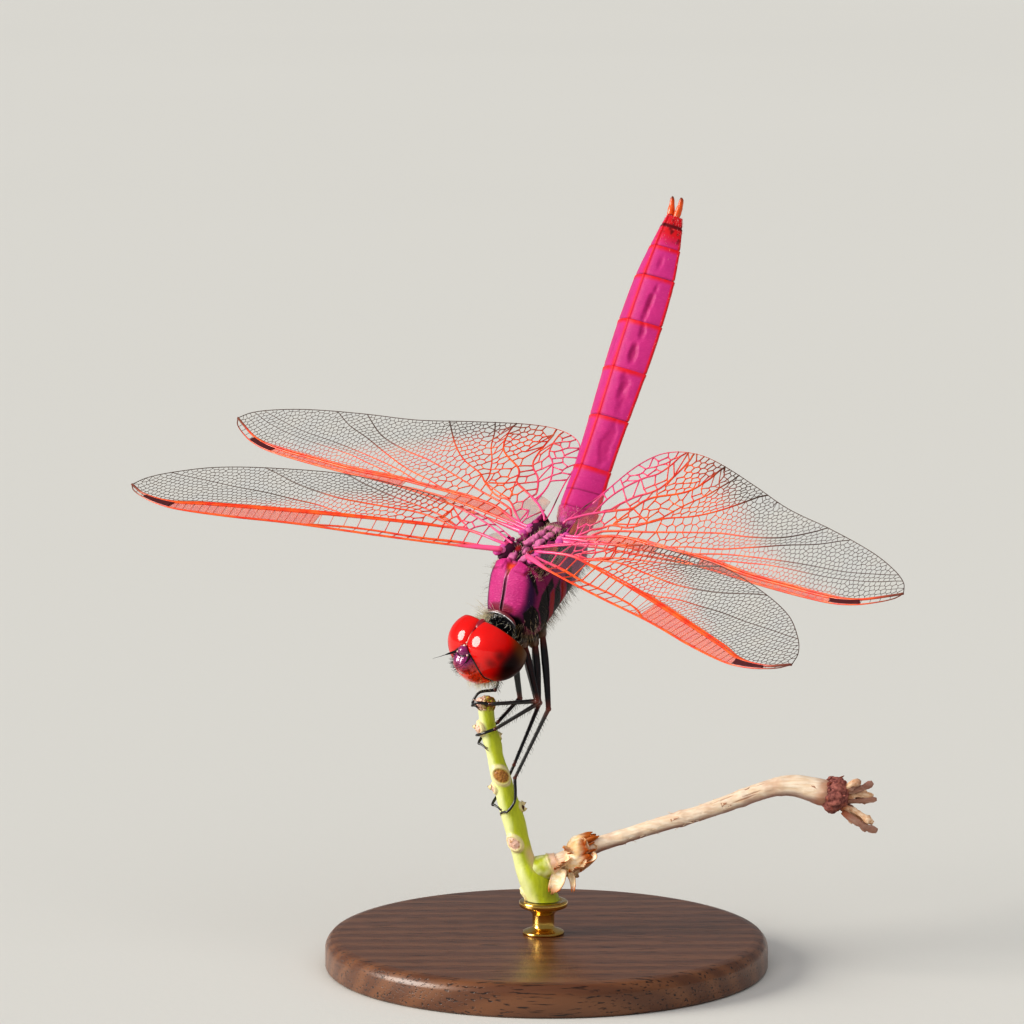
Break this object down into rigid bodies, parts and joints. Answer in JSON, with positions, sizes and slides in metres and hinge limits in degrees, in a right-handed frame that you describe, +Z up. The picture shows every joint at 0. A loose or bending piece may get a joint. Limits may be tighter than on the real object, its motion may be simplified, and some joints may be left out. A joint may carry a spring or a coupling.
{
  "type": "dragonfly",
  "caption": "Male crimson marsh glider dragonfly in the obelisk posture, gripping the top of a cut length of stem, life size on a small display stand.",
  "frame": {"origin": "centre of the underside of the stand's round base", "axes": "+Z up; +Y away from the viewer the pose is meant for, +X to that viewer's right; the insect heads towards -X and -Y, with its abdomen raised towards +Z"},
  "size_m": [0.0548, 0.0477, 0.055],
  "materials": {
    "stand_wood": "dark walnut, oiled",
    "stand_brass": "turned and lacquered",
    "green_stem": "living green rind with paler leaf scars",
    "dead_twig": "dry, weathered bark and frayed fibres",
    "wing_membrane": "clear chitin film with red veins",
    "eye_cornea": "glossy facetted cornea, red above and dark maroon below",
    "violet_cuticle": "metallic violet, polished",
    "red_cuticle": "satin",
    "black_cuticle": "satin black with fine hairs",
    "thorax_cuticle": "magenta with a waxy bloom, black patches at the sides",
    "pink_cuticle": "pink waxy bloom over satin cuticle"
  },
  "bodies": {
    "root": {"abdomen_01": "pink_cuticle", "abdomen_02": "pink_cuticle", "abdomen_03": "pink_cuticle", "abdomen_04": "pink_cuticle", "abdomen_05": "pink_cuticle", "abdomen_06": "pink_cuticle", "abdomen_07": "pink_cuticle", "abdomen_08": "pink_cuticle", "abdomen_09": "red_cuticle", "abdomen_10": "red_cuticle", "antenna_left": "black_cuticle", "antenna_right": "black_cuticle", "cercus_left": "red_cuticle", "cercus_right": "red_cuticle", "epiproct": "red_cuticle", "eye_left": "eye_cornea", "eye_right": "eye_cornea", "head_face": "red_cuticle", "head_frons": "violet_cuticle", "head_occiput": "black_cuticle", "head_vertex": "violet_cuticle", "leg_fore_left_foot": "black_cuticle", "leg_fore_left_shin": "black_cuticle", "leg_fore_left_thigh": "black_cuticle", "leg_fore_right_foot": "black_cuticle", "leg_fore_right_shin": "black_cuticle", "leg_fore_right_thigh": "black_cuticle", "leg_hind_left_foot": "black_cuticle", "leg_hind_left_shin": "black_cuticle", "leg_hind_left_thigh": "black_cuticle", "leg_hind_right_foot": "black_cuticle", "leg_hind_right_shin": "black_cuticle", "leg_hind_right_thigh": "black_cuticle", "leg_mid_left_foot": "black_cuticle", "leg_mid_left_shin": "black_cuticle", "leg_mid_left_thigh": "black_cuticle", "leg_mid_right_foot": "black_cuticle", "leg_mid_right_shin": "black_cuticle", "leg_mid_right_thigh": "black_cuticle", "neck": "black_cuticle", "perch_bract": "dead_twig", "perch_splinter_1": "dead_twig", "perch_splinter_2": "dead_twig", "perch_splinter_3": "dead_twig", "perch_splinter_4": "dead_twig", "perch_stem": "green_stem", "perch_twig": "dead_twig", "perch_twig_collar": "dead_twig", "prothorax": "black_cuticle", "stand_base": "stand_wood", "stand_rod": "stand_brass", "thorax": "thorax_cuticle", "wing_fore_left": "wing_membrane", "wing_fore_right": "wing_membrane", "wing_hind_left": "wing_membrane", "wing_hind_right": "wing_membrane"}
  },
  "joints": []
}
